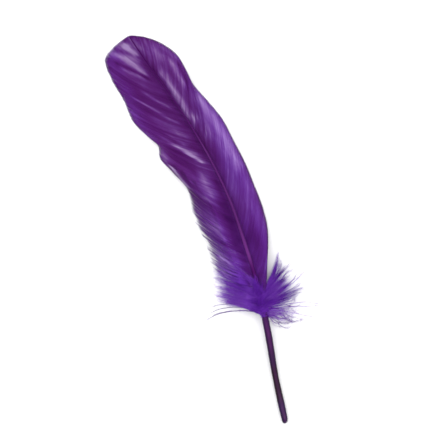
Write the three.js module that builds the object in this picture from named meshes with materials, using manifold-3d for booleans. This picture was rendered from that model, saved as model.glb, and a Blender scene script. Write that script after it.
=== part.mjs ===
// A dyed goose quill feather, lying with its outer side up on a flat surface. Millimetres, +Z up.
// +Y runs from the quill's end to the tip, and +X towards the narrow vane.
import * as THREE from 'three';
import { mergeVertices } from 'three/addons/utils/BufferGeometryUtils.js';
import Module from 'manifold-3d';

const wasm = await Module();
wasm.setup();

// Lengths along the feather, measured from the quill's end.
const featherLength = 180;
const restingLength = 12;

// How high the shaft's underside arches between the resting quill and the tip.
const archHeight = 5.2;
const tipRise = 0.35;
const archFullness = 1.3;

// The shaft's sides, and the step between its sections.
const shaftSides = 12;
const shaftStep = 4;

// The clear space between neighbouring pieces.
const gap = 0.3;

// The vanes: thickness at the shaft and at the edge, and how far a barb bulges between the two.
const rootThickness = 0.75;
const edgeThickness = 0.5;
const crownShare = 0.085;
const bowShare = 0.05;
const fallPower = 1.9;
const barbSteps = 6;

// The locks that the barbs of a vane zip into.
const locksPerVane = 26;
const lockRidge = 0.2;
const lockReach = 0.022;

// The vane's foot is lifted off the surface by the down under it.
const footLift = 2.4;
const footShare = 0.3;

// The down locks: their sections, where they leave the shaft, how they bow, and how they taper and flatten.
const downLockSteps = 5;
const downLockSides = 6;
const sideLock = { rootAside: 0.6, rootAbove: 0, crown: 0.2 };
const tuftLock = { rootAside: -0.9, rootAbove: 2, crown: 0.8 };
const crownPlace = 0.45;
const lockWidth = 0.62;
const lockBulge = 0.25;
const lockTaper = 0.9;
const lockFlatness = 0.55;
const shortestEdge = 0.02;

// The shaft's middle line seen from above, as [distance along, distance across].
const shaftLine = [
  [0, 0.5], [20, 3.8], [40, 8], [60, 11.2], [80, 12.8], [98, 13.6],
  [115, 12.6], [132, 10.2], [150, 6.4], [168, 1.9], [180, -0.8],
];

// The shaft's half width, as [distance along, half width].
const shaftWidths = [
  [0, 0.75], [0.8, 1.16], [2.4, 1.36], [20, 1.4], [38, 1.58], [46, 1.45], [60, 0.95],
  [80, 0.8], [110, 0.6], [140, 0.42], [165, 0.32], [180, 0.24],
];

// A vane's guide barbs from its foot to the tip, as [distance along of the root, barb tip x, barb tip y].
const innerVane = {
  side: -1,
  barbs: [
    [59, -4.6, 72.5], [68, -3, 85], [78, -3.8, 98], [88, -2, 109.5], [95, -5.2, 119], [102, -7.8, 126.5],
    [106, -6.6, 131], [114, -9.2, 136.5], [122, -12.8, 145], [131, -13.2, 155], [141, -14.7, 165],
    [150, -14.2, 174.4], [158, -9.8, 177.5], [168, -4.8, 179.3], [176, -2, 179.9],
  ],
};
const outerVane = {
  side: 1,
  barbs: [
    [52.5, 16, 61], [56, 20.2, 70], [61, 24.3, 80], [68, 26, 90], [76, 25.9, 101], [84, 26.2, 111],
    [93, 25.2, 122], [102, 23.8, 132], [112, 20.8, 141], [122, 17.5, 150.5], [132, 16.8, 158],
    [142, 15.5, 165.2], [152, 11.2, 172], [162, 6, 176.8], [176, 0.6, 179.7],
  ],
};

// Down locks, as [distance along of the root, lock tip x, y and height, width].
// The tuft's locks start over the shaft and hide it.
const innerDown = [
  [47.2, 0.4, 53.6, 0.9, 2], [48.2, -3, 55.4, 0.8, 2.2], [49.6, -6, 57.6, 0.7, 2.4],
  [51.2, -7.2, 60.6, 0.8, 2.4], [52.8, -7.4, 63.6, 1, 2.4], [54.4, -6.2, 66.4, 1, 2.4],
  [56, -6.6, 69.4, 0.9, 2.4], [57.6, -5.2, 71.6, 1, 2.2], [50.4, -1.6, 57.4, 2.6, 2.6],
  [53.6, -2.8, 62.6, 2.8, 2.6],
];
const outerDown = [
  [47, 13.6, 41, 0.8, 1.8], [47.4, 18, 37.6, 0.6, 2], [48.4, 22.8, 38.8, 0.6, 2],
  [49.2, 25.2, 43.4, 0.7, 2.2], [50.2, 27.6, 48.6, 0.8, 2.4], [51.2, 30.4, 51.4, 1.2, 2.4],
  [52.4, 31.2, 56.6, 1.2, 2.6], [53.4, 27, 59.4, 2, 2.6], [54.4, 28.2, 63.4, 1.8, 2.6],
  [55.6, 24.6, 69.4, 2.4, 2.4], [56.8, 19.8, 62.6, 3.6, 2.4], [50.6, 23.4, 53.4, 3.4, 2.8],
  [49.4, 34, 40.8, 0.6, 1.5],
];
const tuft = [
  [47.4, 12.6, 44.2, 3.6, 2.2], [49, 17.4, 47.4, 3.6, 2.8], [51.2, 20.4, 52, 4, 3],
  [53.4, 20, 57.4, 4.8, 3], [55.8, 16.6, 62, 6.2, 2.8], [57.6, 12.6, 64.4, 7.4, 2.2],
];

// Reads a smooth value from hand-set [distance, value] pairs.
function smoothReader(pairs) {
  const distances = new Float64Array(pairs.map((pair) => pair[0]));
  const values = new Float64Array(pairs.map((pair) => pair[1]));
  const curve = new THREE.CubicInterpolant(distances, values, 1);
  return (distance) => curve.evaluate(distance)[0];
}

const shaftAcross = smoothReader(shaftLine);
const shaftHalfWidth = smoothReader(shaftWidths);
const flatSideRatio = Math.cos(Math.PI / shaftSides);

function shaftUnderside(along) {
  const run = Math.max(0, (along - restingLength) / (featherLength - restingLength));
  return archHeight * Math.max(0, Math.sin(Math.PI * run)) ** archFullness + tipRise * run;
}

function shaftCentre(along) {
  const height = shaftUnderside(along) + flatSideRatio * shaftHalfWidth(along);
  return new THREE.Vector3(shaftAcross(along), along, height);
}

// Skins a row of closed rings, each with the same even number of points, and closes both ends.
function loft(rings) {
  const count = rings[0].length;
  const positions = rings.flat().flatMap((point) => [point.x, point.y, point.z]);
  const index = [];
  const addQuad = (a, b, c, d) => index.push(a, b, c, a, c, d);
  for (let ring = 0; ring + 1 < rings.length; ring += 1) {
    for (let k = 0; k < count; k += 1) {
      const next = (k + 1) % count;
      const base = ring * count;
      addQuad(base + k, base + next, base + count + next, base + count + k);
    }
  }
  const last = (rings.length - 1) * count;
  for (let k = 0; k + 1 < count / 2; k += 1) {
    const far = count - 1 - k;
    addQuad(k, far, far - 1, k + 1);
    addQuad(last + k, last + k + 1, last + far - 1, last + far);
  }
  const geometry = new THREE.BufferGeometry();
  geometry.setAttribute('position', new THREE.Float32BufferAttribute(positions, 3));
  geometry.setIndex(index);
  return geometry;
}

// The quill and the rachis in one piece, with a flat underside that rests near the quill's end.
function shaftGeometry(clearance) {
  const stations = [0, 0.8, 2.4];
  for (let along = restingLength; along <= featherLength; along += shaftStep) {
    stations.push(along);
  }
  const rings = stations.map((along) => {
    const centre = shaftCentre(along);
    const radius = shaftHalfWidth(along) + clearance;
    const ring = [];
    for (let k = 0; k < shaftSides; k += 1) {
      const angle = (2 * Math.PI * (k + 0.5)) / shaftSides;
      const offset = new THREE.Vector3(-radius * Math.sin(angle), 0, -radius * Math.cos(angle));
      ring.push(centre.clone().add(offset));
    }
    return ring;
  });
  return loft(rings);
}

// One barb of a vane as a row of upper points, from its root beside the shaft to its tip.
function barbLine(vane, guide, reach, ridge) {
  const rootAlong = guide.z;
  const sideways = vane.side * (shaftHalfWidth(rootAlong) + gap);
  const root = shaftCentre(rootAlong).add(new THREE.Vector3(sideways, 0, rootThickness / 2));
  const tip = new THREE.Vector3(guide.x, guide.y, edgeThickness);
  const reachOut = new THREE.Vector2(tip.x - root.x, tip.y - root.y);
  const length = reachOut.length();
  const bow = new THREE.Vector2(reachOut.y, -reachOut.x).multiplyScalar(vane.side * bowShare);
  const points = [];
  for (let step = 0; step <= barbSteps; step += 1) {
    const out = step / barbSteps;
    const along = out * reach;
    const hump = 4 * out * (1 - out);
    const height = THREE.MathUtils.lerp(root.z, tip.z, out ** fallPower);
    points.push(new THREE.Vector3(
      root.x + reachOut.x * along + bow.x * hump,
      root.y + reachOut.y * along + bow.y * hump,
      height + hump * (crownShare * length + ridge),
    ));
  }
  return points;
}

// A vane is a thin curved sheet whose ridges run along its locks.
function vaneGeometry(vane, clearance) {
  const guides = new THREE.CatmullRomCurve3(
    vane.barbs.map(([rootAlong, x, y]) => new THREE.Vector3(x, y, rootAlong)),
  );
  const rows = 2 * locksPerVane;
  const rings = [];
  for (let row = 0; row <= rows; row += 1) {
    const share = row / rows;
    const onRidge = row % 2 === 1;
    const reach = onRidge ? 1 : 1 - lockReach;
    const upper = barbLine(vane, guides.getPointAt(share), reach, onRidge ? lockRidge : -lockRidge);
    const foot = Math.max(0, 1 - share / footShare) ** 2 * footLift;
    const lower = upper.map((point, step) => {
      const out = step / barbSteps;
      const thickness = THREE.MathUtils.lerp(rootThickness, edgeThickness, out);
      point.y -= row === 0 ? 2 * clearance : 0;
      point.z += foot * out + clearance;
      return new THREE.Vector3(point.x, point.y, Math.max(0, point.z - thickness - 2 * clearance));
    });
    rings.push([...upper, ...lower.reverse()]);
  }
  if (vane.side < 0) {
    rings.forEach((ring) => ring.reverse());
  }
  return loft(rings);
}

// A pointed lock of down that leaves the shaft, bows over and sinks to its tip.
function downLock(side, kind, [rootAlong, tipX, tipY, tipZ, width]) {
  const root = shaftCentre(rootAlong);
  root.x += side * shaftHalfWidth(rootAlong) * kind.rootAside;
  root.z += kind.rootAbove;
  const tip = new THREE.Vector3(tipX, tipY, tipZ);
  const bend = root.clone().lerp(tip, crownPlace);
  bend.z = Math.max(root.z, tip.z) + kind.crown;
  const path = new THREE.QuadraticBezierCurve3(root, bend, tip);
  const rings = [];
  for (let step = 0; step <= downLockSteps; step += 1) {
    const share = step / downLockSteps;
    const point = path.getPoint(share);
    const direction = path.getTangent(share);
    const across = new THREE.Vector3(-direction.y, direction.x, 0).normalize();
    const up = direction.clone().cross(across).normalize();
    const half = width * (lockWidth + lockBulge * Math.sin(Math.PI * share)) * (1 - lockTaper * share ** 2);
    const ring = [];
    for (let k = 0; k < downLockSides; k += 1) {
      const angle = (2 * Math.PI * k) / downLockSides;
      const corner = point.clone();
      corner.addScaledVector(across, half * Math.cos(angle));
      corner.addScaledVector(up, lockFlatness * half * Math.sin(angle));
      ring.push(corner);
    }
    rings.push(ring);
  }
  return loft(rings);
}

// A closed geometry as a solid that can be joined and cut.
function toSolid(geometry) {
  const bare = geometry.clone();
  bare.deleteAttribute('normal');
  bare.deleteAttribute('uv');
  const merged = mergeVertices(bare);
  return new wasm.Manifold(new wasm.Mesh({
    numProp: 3,
    vertProperties: new Float32Array(merged.attributes.position.array),
    triVerts: new Uint32Array(merged.index.array),
  }));
}

function toGeometry(solid) {
  const mesh = solid.getMesh();
  const geometry = new THREE.BufferGeometry();
  geometry.setAttribute('position', new THREE.BufferAttribute(mesh.vertProperties, 3));
  geometry.setIndex(new THREE.BufferAttribute(mesh.triVerts, 1));
  return geometry;
}

// Locks fused where they meet, cleared from the shaft and the vane beside them.
function downGeometry(locks, cutters) {
  const fused = locks.map(toSolid).reduce((whole, lock) => whole.add(lock));
  const cleared = cutters.reduce((whole, cutter) => whole.subtract(cutter), fused);
  const pieces = cleared.simplify(shortestEdge).decompose();
  return toGeometry(pieces.reduce((best, piece) => (piece.volume() > best.volume() ? piece : best)));
}

const finishes = {
  shaft: { color: 0x2c0a3a, roughness: 0.25, metalness: 0 },
  vane: { color: 0x5b2a8a, roughness: 0.45, metalness: 0 },
  down: { color: 0x6a3ab0, roughness: 0.8, metalness: 0 },
};

function namedMesh(name, geometry, finish) {
  const flat = geometry.toNonIndexed();
  flat.computeVertexNormals();
  const mesh = new THREE.Mesh(flat, new THREE.MeshStandardMaterial(finishes[finish]));
  mesh.name = name;
  return mesh;
}

const shaftSpace = toSolid(shaftGeometry(gap));
const innerVaneSpace = toSolid(vaneGeometry(innerVane, gap));
const outerVaneSpace = toSolid(vaneGeometry(outerVane, gap));

const innerDownGeometry = downGeometry(
  innerDown.map((lock) => downLock(-1, sideLock, lock)),
  [shaftSpace, innerVaneSpace],
);
const outerDownGeometry = downGeometry(
  [
    ...outerDown.map((lock) => downLock(1, sideLock, lock)),
    ...tuft.map((lock) => downLock(1, tuftLock, lock)),
  ],
  [shaftSpace, outerVaneSpace],
);

const feather = new THREE.Group();
feather.add(
  namedMesh('shaft', shaftGeometry(0), 'shaft'),
  namedMesh('inner_vane', vaneGeometry(innerVane, 0), 'vane'),
  namedMesh('outer_vane', vaneGeometry(outerVane, 0), 'vane'),
  namedMesh('inner_down', innerDownGeometry, 'down'),
  namedMesh('outer_down', outerDownGeometry, 'down'),
);

// The origin is under the middle of the feather's box, on the surface it rests on.
const outerBox = new THREE.Box3().setFromObject(feather);
const middle = outerBox.getCenter(new THREE.Vector3());
feather.position.set(-middle.x, -middle.y, -outerBox.min.z);

export default feather;
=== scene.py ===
import bpy
import math
import numpy as np
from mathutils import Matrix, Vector


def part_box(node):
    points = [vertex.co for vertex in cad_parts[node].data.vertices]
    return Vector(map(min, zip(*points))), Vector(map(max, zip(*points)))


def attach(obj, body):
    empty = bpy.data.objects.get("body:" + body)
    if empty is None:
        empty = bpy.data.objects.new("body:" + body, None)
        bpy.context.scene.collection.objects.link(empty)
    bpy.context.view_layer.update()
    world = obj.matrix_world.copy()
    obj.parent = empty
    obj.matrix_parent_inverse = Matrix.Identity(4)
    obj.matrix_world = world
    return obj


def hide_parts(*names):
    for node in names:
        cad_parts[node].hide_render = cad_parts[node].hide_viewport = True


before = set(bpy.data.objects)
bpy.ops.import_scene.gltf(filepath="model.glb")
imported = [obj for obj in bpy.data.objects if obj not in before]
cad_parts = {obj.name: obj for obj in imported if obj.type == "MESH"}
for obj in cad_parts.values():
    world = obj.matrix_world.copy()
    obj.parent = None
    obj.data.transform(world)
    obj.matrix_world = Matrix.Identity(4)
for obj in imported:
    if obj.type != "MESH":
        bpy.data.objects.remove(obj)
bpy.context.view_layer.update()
scene = bpy.context.scene
mm = 0.001
print("frame loaded with", len(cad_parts), "nodes")

# The feather as it is drawn, in millimetres: x across, y along from the quill's end, z up.
# Its line and widths are the solids' own, and its guide barbs nearly so.
plan = {
    "length": 180,
    "restingLength": 12,
    "archHeight": 5.2,
    "tipRise": 0.35,
    "archFullness": 1.3,
    "solidSides": 12,
    "shaftLine": [
        (0, 0.5), (20, 3.8), (40, 8), (60, 11.2), (80, 12.8), (98, 13.6), (115, 12.6), (132, 10.2),
        (150, 6.4), (168, 1.9), (180, -0.8),
    ],
    "shaftWidths": [
        (0, 0.75), (0.8, 1.16), (2.4, 1.36), (20, 1.4), (38, 1.58), (46, 1.45), (60, 0.95), (80, 0.8),
        (110, 0.6), (140, 0.42), (165, 0.32), (180, 0.24),
    ],
}


def smoothReader(pairs):
    places, values = np.array(pairs, float).T
    secants = np.diff(values) / np.diff(places)
    slopes = np.concatenate(([secants[0]], (secants[1:] + secants[:-1]) / 2, [secants[-1]]))

    def read(at):
        at = np.clip(at, places[0], places[-1])
        k = np.clip(np.searchsorted(places, at, side="right") - 1, 0, len(places) - 2)
        span = places[k + 1] - places[k]
        t = (at - places[k]) / span
        ends = values[k] * (1 + 2 * t) * (1 - t) ** 2 + values[k + 1] * t * t * (3 - 2 * t)
        return ends + span * (slopes[k] * t * (1 - t) ** 2 - slopes[k + 1] * t * t * (1 - t))

    return read


shaftAcross = smoothReader(plan["shaftLine"])
shaftHalfWidth = smoothReader(plan["shaftWidths"])
flatSideRatio = math.cos(math.pi / plan["solidSides"])


def shaftCentre(along):
    along = np.asarray(along, float)
    run = np.clip((along - plan["restingLength"]) / (plan["length"] - plan["restingLength"]), 0, 1)
    arch = plan["archHeight"] * np.clip(np.sin(np.pi * run), 0, 1) ** plan["archFullness"]
    height = arch + plan["tipRise"] * run + flatSideRatio * shaftHalfWidth(along)
    return np.stack([shaftAcross(along), along, height], axis=-1)


# Where the drawing lies in the part's frame: the shaft's drawn box set against its solid's box
shaftLow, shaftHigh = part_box("shaft")
solidStations = np.arange(plan["restingLength"], plan["length"] + 1, 4)
drawnRight = (shaftAcross(solidStations) + flatSideRatio * shaftHalfWidth(solidStations)).max()
drawingOrigin = np.array([shaftHigh[0] - drawnRight * mm, shaftLow[1], shaftLow[2]])


def toPart(points):
    return np.asarray(points, float) * mm + drawingOrigin


patternStart = tuple(toPart((8.18, 90, 0)))    # noise is laid out from here, so it moves with the drawing
surfaceGap = 0.05 * mm    # no barb comes nearer to the surface than this


def meshObject(name, points, faces, attributes=None):
    mesh = bpy.data.meshes.new(name)
    mesh.from_pydata([tuple(p) for p in points], [], faces)
    for label, values in (attributes or {}).items():
        values = np.asarray(values)
        kind = "FLOAT_VECTOR" if values.ndim == 2 else "INT" if values.dtype.kind == "i" else "FLOAT"
        layer = mesh.attributes.new(label, kind, "POINT")
        layer.data.foreach_set("vector" if values.ndim == 2 else "value", values.ravel())
    obj = bpy.data.objects.new(name, mesh)
    scene.collection.objects.link(obj)
    return obj


# Node helpers, for geometry and shader trees alike. A Term is a socket that sums can be written with.
class Term:
    def __init__(self, tree, socket):
        self.tree, self.socket = tree, socket
        self.isVector = socket.type in ("VECTOR", "RGBA")

    def __add__(self, other):
        return maths("ADD", self, other)

    def __sub__(self, other):
        return maths("SUBTRACT", self, other)

    def __rsub__(self, other):
        return maths("SUBTRACT", other, self)

    def __mul__(self, other):
        return maths("SCALE" if self.isVector and not isVector(other) else "MULTIPLY", self, other)

    def __truediv__(self, other):
        return maths("DIVIDE", self, other)

    def __pow__(self, other):
        return maths("POWER", self, other)

    def atLeast(self, limit):
        return maths("MAXIMUM", self, limit)

    def atMost(self, limit):
        return maths("MINIMUM", self, limit)


def isVector(value):
    return isinstance(value, tuple) or getattr(value, "isVector", False)


def treeOf(values):
    return next(value.tree for value in values if isinstance(value, Term))


def setInputs(node, inputs):
    for key, value in inputs.items():
        if isinstance(value, Term):
            value.tree.links.new(value.socket, node.inputs[key])
        else:
            node.inputs[key].default_value = value


def addNode(tree, kind, inputs=None, **settings):
    node = tree.nodes.new(kind)
    for key, value in settings.items():
        setattr(node, key, value)
    setInputs(node, inputs or {})
    return node


def useNode(tree, kind, inputs=None, output=0, **settings):
    return Term(tree, addNode(tree, kind, inputs, **settings).outputs[output])


def maths(operation, *values):
    kind = "ShaderNodeVectorMath" if any(map(isVector, values)) else "ShaderNodeMath"
    inputs = dict(zip((0, 3) if operation == "SCALE" else (0, 1), values))
    output = 1 if operation == "LENGTH" else 0
    return useNode(treeOf(values), kind, inputs, output, operation=operation)


def split(value):
    node = addNode(value.tree, "ShaderNodeSeparateXYZ", {0: value})
    return [Term(value.tree, output) for output in node.outputs]


def combine(*values):
    return useNode(treeOf(values), "ShaderNodeCombineXYZ", dict(enumerate(values)))


def fade(value, start, end, low=0.0, high=1.0):
    inputs = {"Value": value, "From Min": start, "From Max": end, "To Min": low, "To Max": high}
    return useNode(value.tree, "ShaderNodeMapRange", inputs, interpolation_type="SMOOTHSTEP")


def addNoise(place, size, detail, output=0):
    inputs = {"Vector": place, "Scale": size, "Detail": detail}
    return useNode(place.tree, "ShaderNodeTexNoise", inputs, output)


def openTree(name, inputs, kind="Geometry", output=("Geometry", "Geometry")):
    tree = bpy.data.node_groups.new(name, kind + "NodeTree")
    for way, sockets in (("INPUT", inputs.items()), ("OUTPUT", [output])):
        for label, socketKind in sockets:
            tree.interface.new_socket(label, in_out=way, socket_type="NodeSocket" + socketKind)
    return tree, {socket.name: Term(tree, socket) for socket in tree.nodes.new("NodeGroupInput").outputs}


def readAttribute(tree, name, kind="FLOAT"):
    return useNode(tree, "GeometryNodeInputNamedAttribute", {"Name": name}, data_type=kind)


def readVector(tree, name):
    return readAttribute(tree, name, "FLOAT_VECTOR")


def keepAttribute(geometry, name, value, kind=None, domain="POINT"):
    kind = kind or ("FLOAT_VECTOR" if isVector(value) else "FLOAT")
    inputs = {"Geometry": geometry, "Name": name, "Value": value}
    return useNode(geometry.tree, "GeometryNodeStoreNamedAttribute", inputs, data_type=kind, domain=domain)


def keepAttributes(geometry, values):
    for name, value in values.items():
        geometry = keepAttribute(geometry, name, value)
    return geometry


def randomNumber(low, high, identity, seed):
    inputs = {2: low, 3: high, "ID": identity, "Seed": seed}
    return useNode(identity.tree, "FunctionNodeRandomValue", inputs, 1, data_type="FLOAT")


def randomVector(identity, seed):
    inputs = {0: (-1, -1, -1), 1: (1, 1, 1), "ID": identity, "Seed": seed}
    return useNode(identity.tree, "FunctionNodeRandomValue", inputs, data_type="FLOAT_VECTOR")


def closeTree(geometry, position, material):
    x, y, z = split(position)
    inputs = {"Geometry": geometry, "Position": combine(x, y, z.atLeast(surfaceGap))}
    moved = useNode(geometry.tree, "GeometryNodeSetPosition", inputs)
    dressed = useNode(geometry.tree, "GeometryNodeSetMaterial", {"Geometry": moved, "Material": material})
    addNode(geometry.tree, "NodeGroupOutput", {0: dressed})


def growPiece(name, guide, tree, values):
    modifier = guide.modifiers.new(name, "NODES")
    modifier.node_group = tree
    for item in tree.interface.items_tree:
        if item.in_out == "INPUT" and item.name in values:
            modifier[item.identifier] = values[item.name]
    depsgraph = bpy.context.evaluated_depsgraph_get()
    mesh = bpy.data.meshes.new_from_object(guide.evaluated_get(depsgraph), depsgraph=depsgraph)
    kept = ("position", "barbPlace", "barbTone", "OFBake", "material_index", "sharp_face")
    for label in [a.name for a in mesh.attributes if not a.name.startswith(".") and a.name not in kept]:
        mesh.attributes.remove(mesh.attributes[label])
    mesh.name = name
    piece = bpy.data.objects.new(name, mesh)
    scene.collection.objects.link(piece)
    guideMesh = guide.data
    bpy.data.objects.remove(guide)
    bpy.data.meshes.remove(guideMesh)
    triangles = sum(len(polygon.vertices) - 2 for polygon in mesh.polygons)
    print(name, "has", triangles, "triangles")
    return piece


# Colours, as screen values from 0 to 255
def dye(red, green, blue):
    linear = [((c / 255 + 0.055) / 1.055) ** 2.4 if c > 10 else c / 255 / 12.92 for c in (red, green, blue)]
    return (*linear, 1.0)


def mixColours(factor, first, second):
    return useNode(factor.tree, "ShaderNodeMix", {0: factor, 6: first, 7: second}, 2, data_type="RGBA")


def palette(value, stops):
    node = addNode(value.tree, "ShaderNodeValToRGB", {0: value})
    ramp = node.color_ramp
    while len(ramp.elements) < len(stops):
        ramp.elements.new(1.0)
    for element, (place, colour) in zip(ramp.elements, stops):
        element.position = place
        element.color = dye(*colour)
    return Term(value.tree, node.outputs[0])


def addShades(shade, values, strengths):
    for value, strength in zip(values, strengths):
        shade = shade + (value - 0.5) * strength
    return shade


def buildMottleGroup():
    # uneven take-up of the dye: a value round 0.5, in soft clouds and fine grain
    sockets = {"Vector": "Vector", "Size": "Float", "Grain": "Float"}
    tree, entry = openTree("dyeMottle", sockets, "Shader", ("Mottle", "Float"))
    clouds = addNoise(entry["Vector"], entry["Size"], 3.0)
    grain = addNoise(entry["Vector"], entry["Size"] * 7.0, 2.0)
    addNode(tree, "NodeGroupOutput", {0: clouds + (grain - 0.5) * entry["Grain"]})
    return tree


mottleGroup = buildMottleGroup()


def addMottle(place, size, grain):
    inputs = {"Vector": place, "Size": size, "Grain": grain}
    return useNode(place.tree, "ShaderNodeGroup", inputs, node_tree=mottleGroup)


def addBump(height, strength, distance):
    inputs = {"Height": height, "Strength": strength, "Distance": distance}
    return useNode(height.tree, "ShaderNodeBump", inputs)


def objectPlace(tree, start=patternStart):
    return useNode(tree, "ShaderNodeTexCoord", output="Object") - start


def pieceAttribute(tree, name, output="Vector"):
    return useNode(tree, "ShaderNodeAttribute", output=output, attribute_name=name)


def openMaterial(name):
    material = bpy.data.materials.new(name)
    material.use_nodes = True
    tree = material.node_tree
    return material, tree, tree.nodes["Principled BSDF"]


vaneDyeAndPaintedLight = {
    "plum": [
        (0.0, (56, 4, 74)), (0.25, (78, 18, 96)), (0.45, (90, 31, 112)),
        (0.62, (105, 53, 134)), (0.8, (134, 93, 158)), (1.0, (170, 142, 191)),
    ],
    "violet": [
        (0.0, (58, 6, 84)), (0.25, (82, 24, 112)), (0.45, (98, 40, 140)),
        (0.62, (114, 62, 164)), (0.8, (144, 98, 188)), (1.0, (176, 146, 212)),
    ],
    "downy": [(0.0, (70, 14, 118)), (0.35, (92, 34, 156)), (0.6, (116, 62, 180)), (1.0, (170, 130, 214))],
    # where the colours change, in millimetres on the drawing, and how blue the two edges are
    "bluerDown": (120, 70),
    "bluerRight": (10.2, 21.2),
    "bluerLeft": (-4.8, -10.8),
    "blueEdges": (0.8, 0.6),
    "blueClouds": 0.8,
    "downyDown": (78, 64),
    "downyLeft": (10.2, 5.2),
    # streaks across the vane and along a barb, clouds and barbules across the feather
    "wideStreaks": (38.0, 1.3, 0.0),
    "thinStreaks": (190.0, 2.6, 0.0),
    "clouds": 60.0,
    "barbules": (5200.0, 5200.0, 0.0),
    "middleShade": 0.44,
    # how much the wide and thin streaks, each lock, each barb and the clouds change the shade
    "strengths": (0.42, 0.42, 0.06, 0.08, 0.22),
    # how much painted shade darkens the seams between locks
    "seamShadeStrength": 0.22,
    "bump": (0.25, 0.04 * mm),
    "roughness": (0.3, 0.7, 0.43, 0.59),
}


def makeVaneMaterial(name, look):
    material, tree, shader = openMaterial(name)
    place = pieceAttribute(tree, "barbPlace")
    barbTone, lockTone, lockSeamShade = split(pieceAttribute(tree, "barbTone"))
    where = objectPlace(tree)
    drawnX, drawnY = split(objectPlace(tree, tuple(drawingOrigin)) * (1 / mm))[:2]

    # streaks follow the barbs, wide ones from lock to lock and thin ones from barb to barb
    wide = addMottle(place * look["wideStreaks"], 1.0, 0.2)
    thin = addMottle(place * look["thinStreaks"], 1.0, 0.5)
    clouds = addMottle(where, look["clouds"], 0.15)
    # barbShade brings the dye's streaks together with painted highlights and painted shade
    shade = pieceAttribute(tree, "barbShade", "Fac") + look["middleShade"]
    shade = addShades(shade, (wide, thin, lockTone, barbTone, clouds), look["strengths"])
    # painted shade darkens the seams where one lock overlaps the next
    shade = shade - lockSeamShade * look["seamShadeStrength"]
    # the dye is bluer on the lower half and towards both edges
    right, left = look["blueEdges"]
    edges = (fade(drawnX, *look["bluerRight"]) * right).atLeast(fade(drawnX, *look["bluerLeft"]) * left)
    bluer = fade(drawnY, *look["bluerDown"]).atLeast(edges) + (clouds - 0.5) * look["blueClouds"]
    bluer = bluer.atMost(1.0).atLeast(0.0)
    colour = mixColours(bluer, palette(shade, look["plum"]), palette(shade, look["violet"]))
    downy = fade(drawnY, *look["downyDown"]) * fade(drawnX, *look["downyLeft"])
    barbules = addNoise(where * look["barbules"], 1.0, 1.0)
    setInputs(shader, {
        "Base Color": mixColours(downy, colour, palette(shade, look["downy"])),
        "Roughness": fade(thin, *look["roughness"]), "Normal": addBump(barbules, *look["bump"]),
        "Sheen Weight": 0.05, "Sheen Roughness": 0.35, "Sheen Tint": dye(190, 150, 225),
        "Specular IOR Level": 0.3, "Specular Tint": dye(190, 100, 220),
    })
    return material


vaneMaterial = makeVaneMaterial("dyedBarbAndPaintedLight", vaneDyeAndPaintedLight)
print("vane material made")


# The barb blank: one barb laid out straight, x along it, y across in barb widths, z its height
barbForm = {
    "section": [(-0.14, 0.0), (0.2, 0.17), (1.06, -0.03), (0.3, -0.07)],
    "stations": [0, 0.07, 0.16, 0.27, 0.4, 0.54, 0.68, 0.8, 0.89, 0.95, 1],
    "taperFrom": 0.93,
    "tipWidth": 0.45,
    "tipHeight": 0.4,
}
# The barbule blank: a thin spike that leaves the barb sideways and leans forward
barbuleForm = {
    "halfWidth": 0.0035,
    "height": 0.055,
    "lean": 0.05,
    "rowEnd": 0.96,    # how far out along the barb they go, and how their lengths differ
    "lengths": (0.6, 1.1),
    "shorterOut": 0.5,
}


def closeTube(faces, rings, sides):
    for ring in range(rings - 1):
        for k in range(sides):
            a, b = ring * sides + k, ring * sides + (k + 1) % sides
            faces.append((a, a + sides, b + sides, b))
    last = (rings - 1) * sides
    faces.append(tuple(range(sides)))
    faces.append(tuple(last + k for k in range(sides))[::-1])


def makeBlank(name, points, faces, mapping):
    blank = meshObject(name, points, faces, {"barbCoord": points})
    layer = blank.data.uv_layers.new(name="OFBake")
    for loop in blank.data.loops:
        layer.data[loop.index].uv = mapping[loop.vertex_index]
    blank.data.shade_smooth()
    return blank


def makeBarbBlank(name, form):
    section = np.array(form["section"])
    lowest, highest = section[:, 0].min(), section[:, 0].max()
    points, faces, mapping = [], [], []
    for station in form["stations"]:
        narrowing = max(0, station - form["taperFrom"]) / (1 - form["taperFrom"])
        width = 1 - narrowing * (1 - form["tipWidth"])
        height = 1 - station * (1 - form["tipHeight"])
        for s, h in section:
            points.append((station, s * width, h * height * mm))
            mapping.append((0.002 + 0.996 * station, 0.1 + 0.8 * (s - lowest) / (highest - lowest)))
    closeTube(faces, len(form["stations"]), len(section))
    return makeBlank(name, points, faces, mapping)


def makeBarbuleBlank(name, form):
    w, h = form["halfWidth"], form["height"] * mm
    points = [(-w, 0, -h / 2), (w, 0, -h / 2), (0, 0, h / 2), (form["lean"], 1, 0)]
    mapping = [(0, 0.1), (2 * w, 0.1), (w, 0.2), (form["lean"], 0.9)]
    return makeBlank(name, points, [(0, 1, 2), (1, 0, 3), (2, 1, 3), (0, 2, 3)], mapping)


barbBlank = makeBarbBlank("barbBlank", barbForm)
barbuleBlank = makeBarbuleBlank("barbuleBlank", barbuleForm)


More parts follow.
